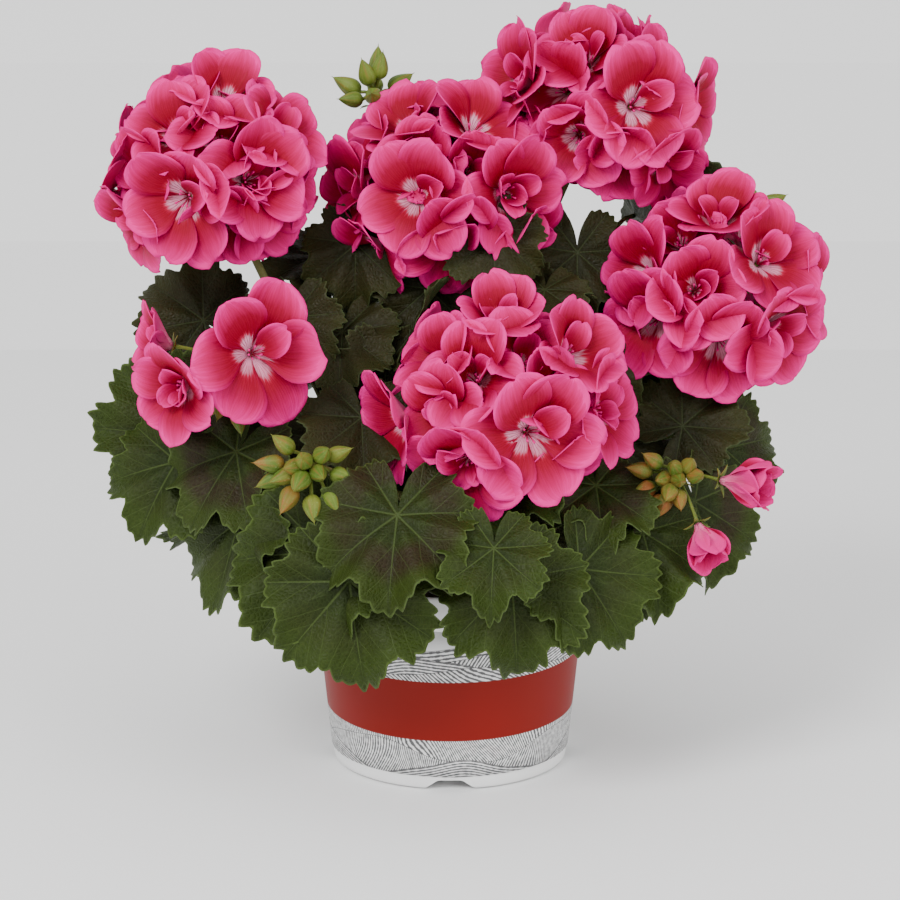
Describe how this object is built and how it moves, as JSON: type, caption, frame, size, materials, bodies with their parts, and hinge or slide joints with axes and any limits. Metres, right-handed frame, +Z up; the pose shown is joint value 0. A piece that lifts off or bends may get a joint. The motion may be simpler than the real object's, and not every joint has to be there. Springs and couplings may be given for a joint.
{
  "type": "potted geranium",
  "caption": "Zonal geranium in full flower: domed pink flower heads and bud clusters over lobed leaves, growing in a round tapered pot with a printed label band.",
  "frame": {"origin": "centre of the flat pad under the pot, on the surface it stands on", "axes": "+Z up along the pot's axis; the label's front faces -Y; +X to the viewer's right when the label is seen from the front"},
  "size_m": [0.3422, 0.276, 0.3557],
  "materials": {
    "pot_plastic": "satin moulded",
    "label_film": "printed film, satin",
    "soil": "loose peat potting mix, matt",
    "stem": "living stem, matt and finely hairy",
    "leaf": "living leaf, soft satin",
    "petal": "living petal, soft matt",
    "bud": "living bud, matt and finely hairy"
  },
  "bodies": {
    "root": {"pot": "pot_plastic", "label": "label_film", "potting_soil": "soil", "stem_left": "stem", "stem_front": "stem", "stem_right": "stem", "stem_back": "stem", "flower_head_a": "petal", "flower_head_b": "petal", "flower_head_c": "petal", "flower_head_d": "petal", "flower_head_e": "petal", "flower_head_f": "petal", "bud_cluster_g": "bud", "bud_cluster_h": "bud", "bud_cluster_i": "bud", "bud_cluster_j": "bud", "leaf_01": "leaf", "leaf_02": "leaf", "leaf_03": "leaf", "leaf_04": "leaf", "leaf_05": "leaf", "leaf_06": "leaf", "leaf_07": "leaf", "leaf_08": "leaf", "leaf_09": "leaf", "leaf_10": "leaf", "leaf_11": "leaf", "leaf_12": "leaf", "leaf_13": "leaf", "leaf_14": "leaf", "leaf_15": "leaf", "leaf_16": "leaf", "leaf_17": "leaf", "leaf_18": "leaf", "leaf_19": "leaf", "leaf_20": "leaf", "leaf_21": "leaf", "leaf_22": "leaf", "leaf_23": "leaf", "leaf_24": "leaf", "leaf_25": "leaf", "leaf_26": "leaf", "leaf_27": "leaf", "leaf_28": "leaf", "leaf_29": "leaf", "leaf_30": "leaf", "leaf_31": "leaf", "leaf_32": "leaf", "leaf_33": "leaf", "leaf_34": "leaf", "leaf_35": "leaf", "leaf_36": "leaf", "leaf_37": "leaf", "leaf_38": "leaf", "leaf_39": "leaf", "leaf_40": "leaf", "leaf_41": "leaf", "leaf_42": "leaf"}
  },
  "joints": []
}
